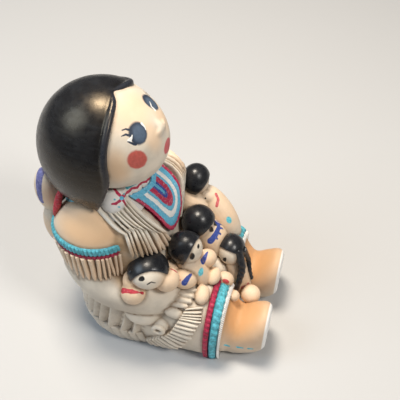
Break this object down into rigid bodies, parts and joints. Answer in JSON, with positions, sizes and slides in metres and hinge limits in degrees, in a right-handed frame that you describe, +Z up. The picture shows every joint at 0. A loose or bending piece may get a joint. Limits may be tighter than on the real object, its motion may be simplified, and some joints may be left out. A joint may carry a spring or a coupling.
{
  "type": "storyteller figurine",
  "caption": "Seated woman figurine with a helmet bob, fringed and beaded dress and small children in her arms, on her lap and back.",
  "frame": {"origin": "centre of the bounding box's footprint, on the table she sits on", "axes": "+Z up; she faces -Y with her feet out in front; +X towards her left hand"},
  "size_m": [0.0448, 0.0654, 0.076],
  "materials": {
    "painted_casting": "matte painted, with a brown antique wash in the carving"
  },
  "bodies": {
    "root": {"storyteller_figure": "painted_casting"}
  },
  "joints": []
}
